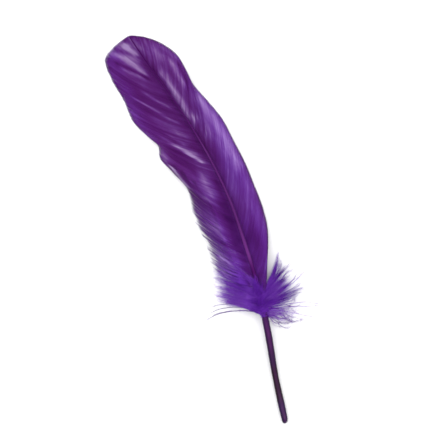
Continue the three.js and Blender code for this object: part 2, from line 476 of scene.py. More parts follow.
def dressPoints(points, barb, barbule, fluffy, spot, barbules, seed):
    # a barb on every point, and a row of barbules along the fluffy ones
    tree = points.tree

    def placeOn(spots, blank):
        shape = useNode(tree, "GeometryNodeObjectInfo", {"Object": blank}, "Geometry")
        return useNode(tree, "GeometryNodeInstanceOnPoints", {"Points": spots, "Instance": shape})

    barbs = placeOn(keepAttribute(points, "barbuleSpot", (0.0, 1.0, 1.0)), barb)
    chosen = useNode(tree, "GeometryNodeSeparateGeometry", {"Geometry": points, "Selection": fluffy})
    inputs = {"Geometry": chosen, "Amount": barbules}
    copied = addNode(tree, "GeometryNodeDuplicateElements", inputs, domain="POINT")
    index = useNode(tree, "GeometryNodeInputIndex")
    order = Term(tree, copied.outputs["Duplicate Index"])
    even = (order + randomNumber(0.0, 1.0, index, seed)) / barbules
    along = even * (barbuleForm["rowEnd"] - spot) + spot
    side = maths("MODULO", order, 2.0) * 2.0 - 1.0
    reach = readAttribute(tree, "barbuleReach") * randomNumber(*barbuleForm["lengths"], index, seed + 1.0)
    reach = reach * (1.0 - along * barbuleForm["shorterOut"])
    spots = keepAttribute(Term(tree, copied.outputs[0]), "barbuleSpot", combine(along, side, reach))
    both = tree.nodes.new("GeometryNodeJoinGeometry")
    for part in (barbs, placeOn(spots, barbule)):
        setInputs(both, {0: part})
    return useNode(tree, "GeometryNodeRealizeInstances", {"Geometry": Term(tree, both.outputs[0])})


def readBarbCoord(tree):
    # where a corner lies: out along its barb, across it, and above it
    coordX, coordY, coordZ = split(readVector(tree, "barbCoord"))
    along, side, reach = split(readVector(tree, "barbuleSpot"))
    return along + coordX, coordY * side * reach, coordZ * side


def keepBakeMap(barbs, count):
    # each barb has a strip of the map of its own
    u, v = split(readVector(barbs.tree, "OFBake"))[:2]
    along = split(readVector(barbs.tree, "barbuleSpot"))[0]
    strip = (v + readAttribute(barbs.tree, "barbNumber")) / count
    return keepAttribute(barbs, "OFBake", combine(u + along, strip), "FLOAT2", "CORNER")


barbInputs = {
    "Geometry": "Geometry", "Barb": "Object", "Barbule": "Object", "Barbules": "Int", "Seed": "Int",
    "Material": "Material",
}
barbRowForm = {
    "sizePace": 0.43,    # how fast and how much the locks differ in size
    "sizeChange": 0.22,
    "tiltChange": 0.4,
    "liftChange": 0.03 * mm,
    "raggedChange": 0.3,
    # where the painted shade of a lock's seam begins and where it is full, as a share of the lock from its
    # middle
    "seamShade": (0.36, 0.5),
    "waves": 90.0,
}


def buildBarbRowTree(form):
    measures = (
        "Side", "Barbs per Lock", "Lock Pull", "Lock Tilt", "Ragged", "Crown", "Bow", "Fall", "Foot Lift",
        "Foot Share", "Loose", "Loose Share", "Loose Ends", "Stray", "Ripple", "Barbule Reach", "Fluffy From",
    )
    tree, entry = openTree("barbRow", {**barbInputs, **dict.fromkeys(measures, "Float")})
    seed, perLock, ragged = entry["Seed"], entry["Barbs per Lock"], entry["Ragged"]
    index = useNode(tree, "GeometryNodeInputIndex")
    position = useNode(tree, "GeometryNodeInputPosition")
    count = useNode(tree, "GeometryNodeAttributeDomainSize", {0: entry["Geometry"]})
    last = count - 1.0
    tip = readVector(tree, "barbTip")

    def atIndex(value, where):
        inputs = {"Value": value, "Index": where}
        return useNode(tree, "GeometryNodeFieldAtIndex", inputs, data_type="FLOAT_VECTOR")

    # each barb reaches over to the next one, so it needs the step to its neighbour
    following = (index + 1.0).atMost(last)
    before = following - 1.0
    rootStep = atIndex(position, following) - atIndex(position, before)
    tipStep = atIndex(tip, following) - atIndex(tip, before)

    # barbs zip into locks of uneven size, which draw together towards their middle barb's tip
    lockPlace = index / perLock + maths("SINE", index * form["sizePace"]) * form["sizeChange"]
    lock = maths("FLOOR", lockPlace)
    middle = ((lock + 0.5) * perLock).atMost(last).atLeast(0.0)
    pull = (atIndex(tip, middle) - tip) * randomNumber(0.0, entry["Lock Pull"], lock, seed)
    inLock = maths("FRACT", lockPlace) - 0.5
    fromMiddle = maths("ABSOLUTE", inLock)
    tilt = inLock + randomNumber(-form["tiltChange"], form["tiltChange"], lock, seed + 1.0)
    lift = tilt * entry["Lock Tilt"]
    lift = lift + randomNumber(-form["liftChange"], form["liftChange"], index, seed + 1.0)
    ownRagged = randomNumber(0.0, ragged * form["raggedChange"], index, seed + 1.0)
    reach = 1.0 - fromMiddle ** 2.0 * ragged - ownRagged
    # barbs at a lock's edges get painted shade, darker in some locks than in others, along the seam where it
    # overlaps the next
    seamShade = fade(fromMiddle, *form["seamShade"]) * randomNumber(0.0, 1.0, lock, seed + 2.0)
    share = index / last
    # the loose barbs end at lengths of their own, which makes their edge soft
    endEarly = randomNumber(0.0, entry["Loose Ends"], index, seed + 3.0)
    reach = reach - fade(share, entry["Loose Share"], 0.0) * entry["Loose"] * endEarly

    # barbTone holds each barb's and each lock's tone, and the painted shade of the lock seams
    points = keepAttributes(entry["Geometry"], {
        "barbRoot": position, "rootStep": rootStep, "tipStep": tipStep, "lockPull": pull, "barbLift": lift,
        "barbTone": combine(randomNumber(0.0, 1.0, index, seed), randomNumber(0.0, 1.0, lock, seed), seamShade),
        "barbReach": reach, "barbShare": share, "barbNumber": index, "barbuleReach": entry["Barbule Reach"],
        "stray": randomVector(index, seed),
    })
    fluffy = useNode(tree, "FunctionNodeCompare", {0: share, 1: entry["Loose Share"]}, operation="LESS_THAN")
    barbs = dressPoints(points, entry["Barb"], entry["Barbule"], fluffy, entry["Fluffy From"],
                        entry["Barbules"], seed)

    # from here on every corner of every barb is bent into its place
    out, across, height = readBarbCoord(tree)
    share = readAttribute(tree, "barbShare")
    looseness = fade(share, entry["Loose Share"], 0.0) * entry["Loose"]
    outSquared = out * out
    narrowed = across * (1.0 - looseness * (outSquared * outSquared))
    root = readVector(tree, "barbRoot") + readVector(tree, "rootStep") * narrowed
    end = tip + readVector(tree, "tipStep") * narrowed
    outX, outY, drop = split(end - root)
    level = combine(outX, outY)
    hump = out * 4.0 * (1.0 - out)
    place = root + level * (out * readAttribute(tree, "barbReach"))
    place = place + combine(outY, outX * -1.0) * (hump * entry["Bow"] * entry["Side"])
    place = place + readVector(tree, "lockPull") * out ** 3.0
    place = place + readVector(tree, "stray") * (looseness * outSquared * entry["Stray"])

    foot = (1.0 - share / entry["Foot Share"]).atLeast(0.0) ** 2.0
    waves = addNoise(place - patternStart, form["waves"], 1.0)
    rise = drop * out ** entry["Fall"] + hump * maths("LENGTH", level) * entry["Crown"]
    rise = rise + foot * entry["Foot Lift"] * out + height
    rise = rise + readAttribute(tree, "barbLift") * maths("SQRT", out)
    rise = rise + (waves - 0.5) * entry["Ripple"] * hump
    barbs = keepAttribute(barbs, "barbPlace", combine(share, out, across))
    closeTree(keepBakeMap(barbs, count), place + combine(0.0, 0.0, rise), entry["Material"])
    return tree


barbRowTree = buildBarbRowTree(barbRowForm)


def vaneReader(barbs):
    barbs = np.array(barbs, float)
    steps = np.linalg.norm(np.diff(barbs, axis=0), axis=1)
    places = np.concatenate(([0], np.cumsum(steps))) / steps.sum()
    readers = [smoothReader(list(zip(places, column))) for column in barbs.T]
    return lambda share: np.stack([read(share) for read in readers], axis=-1)


vaneForm = {
    "barbs": 400,
    "rootAcross": 0.75,
    "rootAbove": 0.1,
    "edgeHeight": 0.25,
    "inputs": {"Crown": 0.085, "Bow": 0.05, "Fall": 1.9, "Foot Lift": 2.4 * mm, "Foot Share": 0.3},
}

# Guide barbs are (root along the shaft, tip x, tip y). Marks are strokes on the drawing, as (shade, half
# width, lift, points); they hold the dye's streaks and also painted highlights and painted shade. All is in
# millimetres, apart from the shade, which is a share of the palette's range.
innerVane = {
    "barbs": [
        (59, -4.6, 72.5), (68, -3, 85), (78, -3.8, 98), (88, -2, 109.5), (95, -5.2, 119), (102, -7.8, 126.5),
        (106, -6.6, 131), (114, -9.2, 136.5), (122, -12.8, 145), (131, -13.2, 155), (141, -14.7, 165),
        (150, -14.2, 174.4), (158, -9.8, 177.5), (168, -4.8, 179.3), (176, -2, 179.9), (178.6, -1.1, 180.1),
    ],
    "inputs": {
        "Side": -1.0, "Barbs per Lock": 15.0, "Lock Pull": 0.045, "Lock Tilt": 0.15 * mm, "Ragged": 0.02,
        "Loose": 0.6, "Loose Share": 0.42, "Loose Ends": 0.3, "Stray": 1.0 * mm, "Ripple": 0.9 * mm,
        "Barbules": 90, "Barbule Reach": 5.0, "Fluffy From": 0.35, "Seed": 11,
    },
    # the pale strokes at the tip and along lifted lock edges are painted highlights, and the dark strokes
    # beside the shaft, between the tip's locks and down the middle of the vane are painted shade
    "marks": [
        (0.38, 2.0, 0, [(-6, 178), (-4, 176)]),
        (0.42, 1.6, 0.2, [(-3.4, 176), (-2, 173.5), (-0.8, 171.6)]),
        (0.5, 1.7, 0.3, [(-10, 176), (-7.5, 173.5), (-4.5, 169.5), (-2, 165), (-0.8, 162.5)]),
        (0.2, 1.0, 0.2, [(-9, 168.4), (-6, 164.6), (-3.6, 161.8)]),
        (0.1, 1.6, 0, [(-5, 160), (0, 153)]),
        (0.3, 0.8, 0, [(-1.4, 180), (-0.2, 177), (0.6, 174)]),
        (-0.22, 0.8, 0, [(-9, 176), (-6.6, 174.2)]),
        (-0.14, 0.5, 0, [(-8.8, 177.3), (-5.5, 174.5), (-2.2, 171.2), (-0.3, 169.6)]),
        (-0.38, 0.6, 0, [(-9.5, 170.5), (-6.5, 167.2), (-3, 163.5), (0.4, 159.5)]),
        (0.3, 0.5, 0.3, [(-10.4, 159), (-8.8, 154.5), (-5, 149.6), (-1.2, 144.8), (2, 140.4), (6.2, 136)]),
        (0.1, 1.2, 0, [(-1, 144), (3, 138.6)]),
        (0.2, 1.0, 0, [(-12, 149), (-10.4, 145)]),
        (0.32, 0.45, 0.3, [(-4.2, 155.5), (-1, 151), (1.6, 147.4), (4.6, 144.4)]),
        (0.15, 2.0, 0, [(-4, 142.5), (0, 138), (4, 132.5), (6.5, 128)]),
        (0.46, 0.9, 0.3, [(1.7, 127.5), (4.1, 124.2), (7.1, 119.8), (9.7, 116.6)]),
        (0.34, 0.35, 0.1, [(2.8, 125.2), (6.8, 119.6), (9.2, 116.6)]),
        (0.3, 0.5, 0.2, [(-4, 134.4), (-1, 131), (1.6, 127.6)]),
        (0.2, 1.6, 0, [(-2.5, 131.5), (2, 126.5), (6.5, 121)]),
        (0.12, 0.5, 0.1, [(2.4, 130.6), (6, 125), (9.4, 119.6)]),
        (0.25, 0.5, 0.2, [(-1, 134.4), (3.4, 128.4), (7.2, 121.8)]),
        (-0.12, 0.8, 0, [(-4, 131), (0, 126.5), (4, 121.5), (8, 117)]),
        (0.4, 1.8, 0, [(-6.5, 128), (-5.5, 124)]),
        (0.85, 0.5, 0.2, [(-4.5, 120.4), (-2.9, 114.8), (-1.2, 110.2)]),
        (0.33, 2.6, 0, [(5.6, 110.6), (6.8, 103.6)]),
        (0.14, 1.6, 0, [(0, 118.6), (1.6, 112)]),
        (0.12, 1.4, 0, [(6, 113), (8, 108)]),
        (0.18, 0.5, 0.2, [(3.4, 103.4), (6, 100.4), (8.8, 97.2)]),
        (0.3, 0.8, 0.2, [(1, 92), (3.6, 88), (5.4, 82.6)]),
        (0.16, 2.6, 0, [(-1, 98), (0, 80), (-1, 70)]),
        (0.3, 0.5, 0.2, [(0.8, 77), (3, 74), (4.6, 70.4)]),
        (0.25, 0.4, 0.2, [(-1, 72), (0.4, 67.6)]),
        (-0.18, 1.4, 0, [(11.4, 108), (11.4, 96), (10.6, 80)]),
        (-0.18, 2.2, 0, [(9.6, 98), (9.4, 84), (8.8, 76)]),
        (-0.22, 0.8, 0, [(10.4, 76), (9.6, 68), (8.8, 62)]),
        (0.2, 1.8, 0, [(2.8, 97), (5.2, 88)]),
        (0.14, 1.4, 0, [(6.6, 77), (7.4, 73)]),
        (-0.05, 3.5, 0, [(7, 82), (12, 80)]),
        (0.18, 1.5, 0, [(3, 134), (5.4, 130)]),
        (0.1, 1.4, 0, [(5.6, 118.6), (8, 113)]),
        (0.26, 1.1, 0, [(-3.6, 172.2), (-0.8, 168.4)]),
        (0.08, 2.0, 0, [(-8, 168), (-5, 163), (-3, 158)]),
        (0.18, 3, 0, [(2.4, 76), (2.6, 68)]),
        (0.12, 2, 0, [(-1, 138), (2, 133)]),
        (-0.12, 5, 0, [(-7, 152), (-3, 141), (1, 122), (1, 114)]),
        (-0.08, 1.7, 0, [(1.6, 168), (3, 160), (7.2, 142), (10.2, 122), (11.4, 100), (10.4, 80), (8.8, 66)]),
    ],
}
outerVane = {
    "barbs": [
        (52.5, 15.8, 61), (56, 19.8, 70), (61, 24.1, 80), (68, 25.75, 90), (76, 25.9, 101), (84, 25.8, 111),
        (93, 24.7, 122), (102, 23.6, 132), (112, 20.8, 141), (122, 17.5, 150.5), (132, 16.8, 158),
        (142, 15.5, 165.2), (152, 11.2, 172), (162, 6, 176.8), (174, 0.6, 179.7), (178.6, -0.7, 180.1),
    ],
    "inputs": {
        "Side": 1.0, "Barbs per Lock": 17.0, "Lock Pull": 0.05, "Lock Tilt": 0.12 * mm, "Ragged": 0.015,
        "Loose": 0.3, "Loose Share": 0.1, "Loose Ends": 0.1, "Stray": 0.5 * mm, "Ripple": 0.6 * mm,
        "Barbules": 40, "Barbule Reach": 2.0, "Fluffy From": 0.4, "Seed": 23,
    },
    # the pale fold band, which is also raised, and the pale strokes along lifted locks are painted
    # highlights, and the dark strokes right of the shaft are painted shade
    "marks": [
        (0.38, 1.5, 0.5, [(6.2, 160), (7.6, 156), (8.8, 150), (9.8, 144), (10.6, 139), (12.6, 136)]),
        (0.08, 6, 0, [(8, 172), (12, 158), (13, 148)]),
        (0.36, 1.4, 0.2, [(12, 163), (12.8, 159), (13.2, 155), (13.6, 151.5)]),
        (0.16, 0.9, 0, [(9.6, 172), (13, 167), (15, 163)]),
        (0.14, 1.6, 0, [(2.4, 173), (5, 168), (6, 163)]),
        (0.2, 1.0, 0, [(0.6, 177.5), (1.4, 173.5)]),
        (-0.28, 0.8, 0, [(14.6, 161), (15, 155), (14.8, 149.5)]),
        (0.12, 1.2, 0, [(7.4, 154), (9.6, 146)]),
        (0.14, 1.8, 0, [(11.2, 137), (13.2, 129)]),
        (0.2, 1.6, 0, [(14.8, 136), (16.4, 129)]),
        (0.2, 1.8, 0, [(5, 175), (7, 170), (9, 166)]),
        (-0.16, 1.3, 0, [(3.2, 162), (4.5, 158), (6.2, 151)]),
        (0.42, 2.3, 0, [(17.3, 143.8), (19.5, 136), (21.4, 126), (22.4, 114), (22.6, 110)]),
        (0.16, 2.0, 0, [(22.4, 104), (22.8, 98)]),
        (0.2, 2.0, 0, [(16.6, 127), (19, 117)]),
        (-0.14, 0.6, 0, [(10.8, 136.4), (12.6, 133.6), (11.4, 130), (12.8, 127.4)]),
        (0.3, 0.6, 0.3, [(14.6, 129), (13.4, 126.4)]),
        (0.14, 1.8, 0, [(20.5, 95), (22.4, 88)]),
        (0.12, 3, 0, [(18, 112), (19, 98), (19.6, 84)]),
        (-0.5, 0.45, 0, [(24, 130), (25, 120)]),
        (-0.34, 0.45, 0, [(25, 119), (25.6, 108), (25.6, 96), (24.8, 84), (22.6, 76), (19.6, 69)]),
        (-0.1, 2.2, 0, [(17.4, 84), (17, 78), (16, 70)]),
        (-0.11, 1.6, 0, [(13, 122), (15, 112), (14.6, 104)]),
        (-0.11, 1.6, 0, [(14.6, 88), (14.4, 80), (13.4, 64)]),
        (-0.08, 3.5, 0, [(13, 80), (17.4, 79)]),
        (-0.1, 1.6, 0, [(19.4, 90), (19, 82), (17.6, 74)]),
        (0.08, 2.2, 0, [(16.4, 104), (17, 96)]),
        (0.35, 0.35, 0.1, [(19, 69.5), (17, 65)]),
    ],
}


def strokeStrength(x, y, points, halfWidth):
    nearest = np.full(x.shape, np.inf)
    for (ax, ay), (bx, by) in zip(points, points[1:]):
        length = (bx - ax) ** 2 + (by - ay) ** 2
        t = np.clip(((x - ax) * (bx - ax) + (y - ay) * (by - ay)) / length, 0, 1)
        nearest = np.minimum(nearest, np.hypot(x - ax - t * (bx - ax), y - ay - t * (by - ay)))
    return np.exp(-(nearest / halfWidth) ** 2)


def addMarks(piece, marks):
    count = len(piece.data.vertices)
    places = np.empty(count * 3, np.float32)
    piece.data.vertices.foreach_get("co", places)
    places = places.reshape(count, 3)
    x, y = ((places[:, :2] - drawingOrigin[:2]) / mm).T
    shade, lift = np.zeros(count), np.zeros(count)
    # pale strokes paint highlights and dark strokes paint shade into barbShade, beside the dye's streaks; the
    # lift raises the barbs
    for strength, halfWidth, height, points in marks:
        amount = strokeStrength(x, y, points, halfWidth)
        shade += strength * amount
        lift += height * amount
    places[:, 2] += lift * mm
    piece.data.vertices.foreach_set("co", places.ravel())
    layer = piece.data.attributes.new("barbShade", "FLOAT", "POINT")
    layer.data.foreach_set("value", shade.astype(np.float32))


def makeVaneGuide(name, vane):
    rootAlong, tipX, tipY = vaneReader(vane["barbs"])(np.linspace(0, 1, vaneForm["barbs"])).T
    roots = shaftCentre(rootAlong)
    roots[:, 0] += vane["inputs"]["Side"] * shaftHalfWidth(rootAlong) * vaneForm["rootAcross"]
    roots[:, 2] += vaneForm["rootAbove"]
    tips = np.stack([tipX, tipY, np.full_like(tipX, vaneForm["edgeHeight"])], axis=-1)
    return meshObject(name, toPart(roots), [], {"barbTip": toPart(tips)})


def makeVane(name, node, vane):
    guide = makeVaneGuide(name + "Guide", vane)
    blanks = {"Barb": barbBlank, "Barbule": barbuleBlank, "Material": vaneMaterial}
    values = {**vaneForm["inputs"], **vane["inputs"], **blanks}
    piece = growPiece(name, guide, barbRowTree, values)
    addMarks(piece, vane["marks"])
    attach(piece, "root")
    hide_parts(node)


makeVane("innerVaneBarbs", "inner_vane", innerVane)
makeVane("outerVaneBarbs", "outer_vane", outerVane)


# The shaft: the bare quill, and the rachis with its groove underneath
shaftForm = {
    "sides": 28,
    "step": 1.0,
    "endCap": [(0, 0.45), (0.12, 0.72), (0.4, 0.92), (0.8, 1.0)],
    "grooveFrom": 58,
    "grooveRun": 10,
    "grooveDepth": 0.22,
    "grooveHalfAngle": 0.75,
    "unevenness": 0.012,
    "swells": [(0.9, 0, 1.0), (2.3, 1, 0.6)],    # each as pace, start and share
}


def makeShaft(name, form):
    capPlaces = [place for place, _ in form["endCap"]]
    stations = np.concatenate((capPlaces, np.arange(1.6, plan["length"] + 0.5, form["step"])))
    capScale = smoothReader(form["endCap"] + [(2.4, 1.0)])
    centres = shaftCentre(stations)
    waviness = sum(share * np.sin(stations * pace + start) for pace, start, share in form["swells"])
    angles = 2 * np.pi * np.arange(form["sides"]) / form["sides"]
    directions = np.stack([-np.sin(angles), np.zeros_like(angles), -np.cos(angles)], axis=-1)
    fromBelow = np.abs((angles + np.pi) % (2 * np.pi) - np.pi)
    inGroove = np.clip(1 - fromBelow / form["grooveHalfAngle"], 0, 1)
    points, places = [], []
    for along, centre, wave in zip(stations, centres, waviness):
        radius = shaftHalfWidth(along) * capScale(along) * (1 + form["unevenness"] * wave)
        groove = form["grooveDepth"] * np.clip((along - form["grooveFrom"]) / form["grooveRun"], 0, 1)
        ring = centre + directions * (radius * (1 - groove * inGroove))[:, None]
        ring[:, 2] = np.maximum(ring[:, 2], 0.0)
        points.extend(ring)
        places.extend((along / plan["length"], angle / (2 * np.pi), 0) for angle in angles)
    faces = []
    closeTube(faces, len(stations), form["sides"])
    shaft = meshObject(name, toPart(points), faces, {"shaftPlace": places})
    shaft.data.shade_smooth()
    return shaft


quillDyeAndHighlight = {
    "horn": [
        (0.0, (26, 2, 46)), (0.045, (32, 6, 56)), (0.062, (24, 0, 18)), (0.125, (26, 2, 20)),
        (0.148, (32, 4, 48)), (0.2, (34, 0, 48)), (0.26, (48, 6, 68)),
    ],
    # colours of the painted highlight along the quill's top, on the lower and on the upper quill
    "highlightStripe": (84, 44, 92),
    "upperHighlight": (86, 20, 94),
    "rachis": (88, 38, 104),
    "rachisFoot": (100, 43, 118),
    "dark": (70, 14, 88),
    # where one colour gives way to the next, in shares of the shaft's length
    "upperHighlightFrom": (0.07, 0.12),
    "brownFrom": (0.05, 0.09),
    "brownTo": (0.2, 0.16),
    "rachisFrom": (0.24, 0.34),
    "darkFootTo": (0.41, 0.37),
    "rachisFootTo": (0.5, 0.4),
    "darkTipFrom": (0.64, 0.84),
    "fibres": (14.0, 26.0, 0.0),
    "patches": (30.0, 2.0, 0.0),
    "highlightMiddle": 0.52,
    "highlightEdge": (0.12, 0.02),
    "highlightBreaks": (0.3, 0.75, 0.15, 0.75),
    "lessHighlightWhereBrown": 0.6,
    "rachisFibres": (0.3, 0.6),
    "roughness": (0.2, 0.4, 0.2, 0.5),
    "coat": (0.2, 0.34, 0.22, 0.0),
    "bump": (0.35, 0.08 * mm),
}


def makeQuillMaterial(name, look):
    material, tree, shader = openMaterial(name)
    place = pieceAttribute(tree, "shaftPlace")
    along, around = split(place)[:2]
    fibres = addMottle(place * look["fibres"], 1.0, 0.5)
    # a painted highlight runs in a broken stripe along the quill's top, weaker where it is brown
    patches = addMottle(place * look["patches"], 1.0, 0.2)
    fromMiddle = maths("ABSOLUTE", around - look["highlightMiddle"])
    highlightStripe = fade(fromMiddle, *look["highlightEdge"]) * fade(patches, *look["highlightBreaks"])
    brown = fade(along, *look["brownFrom"]) * fade(along, *look["brownTo"])
    highlightStripe = highlightStripe * (1.0 - brown * look["lessHighlightWhereBrown"])
    highlightColour, upperHighlightColour, dark = (dye(*look[label]) for label in ("highlightStripe", "upperHighlight", "dark"))
    highlightColour = mixColours(fade(along, *look["upperHighlightFrom"]), highlightColour, upperHighlightColour)
    horn = mixColours(highlightStripe, palette(along, look["horn"]), highlightColour)
    rachis = mixColours(fade(fibres, *look["rachisFibres"]), dark, dye(*look["rachis"]))
    rachis = mixColours(fade(along, *look["rachisFootTo"]), rachis, dye(*look["rachisFoot"]))
    rachis = mixColours(fade(along, *look["darkFootTo"]), rachis, dark)
    colour = mixColours(fade(along, *look["rachisFrom"]), horn, rachis)
    setInputs(shader, {
        "Base Color": mixColours(fade(along, *look["darkTipFrom"]), colour, dark),
        "Roughness": fade(along, *look["roughness"]), "Normal": addBump(fibres, *look["bump"]),
        "Specular IOR Level": 0.15, "Specular Tint": dye(200, 130, 220),
        "Coat Weight": fade(along, *look["coat"]), "Coat Roughness": 0.14,
    })
    return material


quillShaft = makeShaft("quillShaft", shaftForm)
quillShaft.data.materials.append(makeQuillMaterial("dyedHornAndHighlight", quillDyeAndHighlight))
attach(quillShaft, "root")
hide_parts("shaft")
print("shaft made")


# The down: loose barbs with long soft barbules, gathered into pointed locks
downBarbForm = {
    "segments": 10,
    "halfWidth": 0.07,
    "thinning": 0.8,
    "section": [(0.87, -0.5), (0, 1), (-0.87, -0.5)],
}


def makeDownBlank(name, form):
    # a thin three-sided barb, x along it, y and z off it in metres
    points, faces, mapping = [], [], []
    stations = np.linspace(0, 1, form["segments"] + 1)
    for station in stations:
        size = form["halfWidth"] * (1 - form["thinning"] * station) * mm
        points.extend((station, y * size, z * size) for y, z in form["section"])
        mapping.extend((0.002 + 0.996 * station, v) for v in (0.1, 0.5, 0.9))
    closeTube(faces, len(stations), 3)
    return makeBlank(name, points, faces, mapping)


downForm = {
    "bendAt": 0.45,
    "fluffFrom": 0.1,
    "wander": 3 * mm,
    "phases": (3.0, 20.0),    # how far the loops' starts differ, from barb to barb and from lock to lock
    "inputs": {"Barbules": 26, "Curl Size": 170.0, "Loop Turns": 11.0},
}


def buildDownTree(form):
    tree, entry = openTree("downSpray", {**barbInputs, "Curl Size": "Float", "Loop Turns": "Float"})
    seed = entry["Seed"]
    inputs = {"Geometry": entry["Geometry"], "Amount": readAttribute(tree, "lockBarbs", "INT")}
    copied = useNode(tree, "GeometryNodeDuplicateElements", inputs, domain="POINT")
    count = useNode(tree, "GeometryNodeAttributeDomainSize", {0: copied})
    index = useNode(tree, "GeometryNodeInputIndex")
    position = useNode(tree, "GeometryNodeInputPosition")
    spreads = split(readVector(tree, "lockSpread"))
    rootAt, bendAt, tipAt = (
        point + randomVector(index, seed + step) * spread for point, spread, step in
        zip((position, readVector(tree, "lockBend"), readVector(tree, "lockTip")), spreads, (1.0, 2.0, 3.0)))
    fluff = readAttribute(tree, "lockFluff")
    points = keepAttributes(copied, {
        "barbRoot": rootAt, "barbBend": bendAt, "barbTip": tipAt, "barbNumber": index, "barbuleReach": fluff,
        "barbReach": randomNumber(readAttribute(tree, "lockShortest"), 1.0, index, seed),
        "barbTone": combine(randomNumber(0.0, 1.0, index, seed), readAttribute(tree, "lockTone")),
        "stray": randomVector(index, seed),
    })
    fluffy = useNode(tree, "FunctionNodeCompare", {0: fluff, 1: 0.0}, operation="GREATER_THAN")
    barbs = dressPoints(points, entry["Barb"], entry["Barbule"], fluffy, form["fluffFrom"],
                        entry["Barbules"], seed)

    out, across, height = readBarbCoord(tree)
    t = out * readAttribute(tree, "barbReach")
    rest = 1.0 - t
    root, bend, end = (readVector(tree, label) for label in ("barbRoot", "barbBend", "barbTip"))
    place = root * (rest * rest) + bend * (t * rest * 2.0) + end * (t * t)
    heading = maths("NORMALIZE", (bend - root) * rest + (end - bend) * t)
    aside = maths("NORMALIZE", maths("CROSS_PRODUCT", (0, 0, 1), heading))
    above = maths("CROSS_PRODUCT", heading, aside)
    # barbs wander off more the further out they are, each in its own way, and the loose ones curl into loops
    stray = readVector(tree, "stray") * readAttribute(tree, "lockScatter")
    curlAmount, loopRadius = split(readVector(tree, "lockCurl"))[:2]
    own = place - patternStart + stray * form["wander"]
    drift = addNoise(own, entry["Curl Size"], 1.0, "Color") - (0.5, 0.5, 0.5)
    place = place + drift * (t * t * curlAmount)
    barbPhase, lockPhase = form["phases"]
    phase = split(stray)[0] * barbPhase + readAttribute(tree, "lockTone") * lockPhase
    angle = t * entry["Loop Turns"] + phase
    radius = t * t * loopRadius
    place = place + aside * (maths("SINE", angle) * radius) + heading * (maths("COSINE", angle) * radius)
    place = place + aside * across + above * height
    barbs = keepAttribute(barbs, "barbPlace", combine(readAttribute(tree, "lockTipShade"), out, across))
    closeTree(keepBakeMap(barbs, count), place, entry["Material"])
    return tree


downSprayTree = buildDownTree(downForm)
downBlank = makeDownBlank("downBarbBlank", downBarbForm)

downDye = {
    "stops": [(0.0, (72, 14, 124)), (0.35, (112, 35, 186)), (0.65, (142, 70, 211)), (1.0, (178, 130, 226))],
    "clouds": 110.0,
    "strengths": (0.3, 0.25, 0.5),    # how much each barb, each lock and the clouds change the shade
    "tips": (0.4, 1.0),
    "roughness": (0.3, 0.7, 0.54, 0.72),
}


def makeDownMaterial(name, look):
    material, tree, shader = openMaterial(name)
    tipShade, out = split(pieceAttribute(tree, "barbPlace"))[:2]
    barbTone, lockTone = split(pieceAttribute(tree, "barbTone"))[:2]
    clouds = addMottle(objectPlace(tree), look["clouds"], 0.4)
    shade = fade(out, *look["tips"]) * tipShade + 0.5
    shade = addShades(shade, (barbTone, lockTone, clouds), look["strengths"])
    setInputs(shader, {
        "Base Color": palette(shade, look["stops"]), "Roughness": fade(clouds, *look["roughness"]),
        "Specular IOR Level": 0.2, "Specular Tint": dye(180, 110, 230),
        "Sheen Weight": 0.06, "Sheen Roughness": 0.4, "Sheen Tint": dye(180, 150, 230),
    })
    return material


downMaterial = makeDownMaterial("dyedDown", downDye)

# Kinds of lock, in millimetres. Side locks are soft, clumps ragged, spikes and wisps gathered to a point.
# Strands, loops, veils and hairs are thin and curly, the edge is smooth, and the tuft lies over the shaft.
# Spread is how far the barbs' roots, bends and tips scatter, and curl how far they wander and loop.
# Tone is the darkest and the palest that a lock can be, as shares of the dye's range. The root lies aside by
# so many half widths of the shaft and above its middle, and the bend a crown over the higher of root and tip.
lockLabels = (
    "barbs", "spread", "shortest", "fluff", "curl", "tone", "tipShade", "scatter", "aside", "above", "crown",
)
lockKinds = {
    "side": (58, (0.9, 1.9, 1.7), 0.62, 1.0, (1.6, 0), (0.5, 1.2), 0.14, 1, 0.6, 0.3, 0.5),
    "spike": (36, (0.9, 1.3, 0.4), 0.5, 0.7, (1.6, 0), (0.3, 0.9), -0.3, 1, 0.6, 0.3, 0.5),
    "clump": (38, (0.9, 1.4, 1.2), 0.68, 0.9, (2.6, 0.5), (0.2, 0.8), -0.3, 1, 0.6, 0.3, 0.5),
    "wisp": (7, (0.4, 0.5, 0.5), 0.8, 0.6, (2.6, 0.9), (-0.3, 0.2), -0.2, 0.4, 0.6, 0.3, 0.5),
    "strand": (4, (0.3, 0.25, 0.2), 0.88, 0.3, (3.0, 2.1), (-0.7, 0), -0.1, 0.14, 0.6, 0.2, 0.2),
    "loop": (3, (0.25, 0.2, 0.15), 0.92, 0.3, (2.0, 2.9), (-0.8, 0), -0.1, 0.12, 0.6, 0.2, 0.2),
    "veil": (9, (0.6, 1.6, 2.0), 0.6, 1.1, (5, 2.0), (1.2, 1.9), 0.1, 1, 0.6, 0.2, 0.3),
    "edge": (12, (0.3, 0.3, 0.4), 0.6, 0.4, (0.8, 0), (-0.6, -0.4), 0.0, 0.3, 0.6, 0.1, 0.2),
    "tuft": (40, (1.2, 2.2, 1.4), 0.5, 0.9, (1.8, 0), (-0.3, 0.3), 0.0, 1, -0.9, 1.5, 0.7),
    "hair": (5, (0.2, 0.2, 0.14), 0.94, 0.4, (2.0, 0), (-1.0, -0.7), 0.0, 0.1, 0.4, 0.2, 0.2),
    "paleHair": (3, (0.2, 0.2, 0.12), 0.94, 0.35, (2.4, 0.5), (0, 0.5), 0.1, 0.12, 0.4, 0.2, 0.2),
}
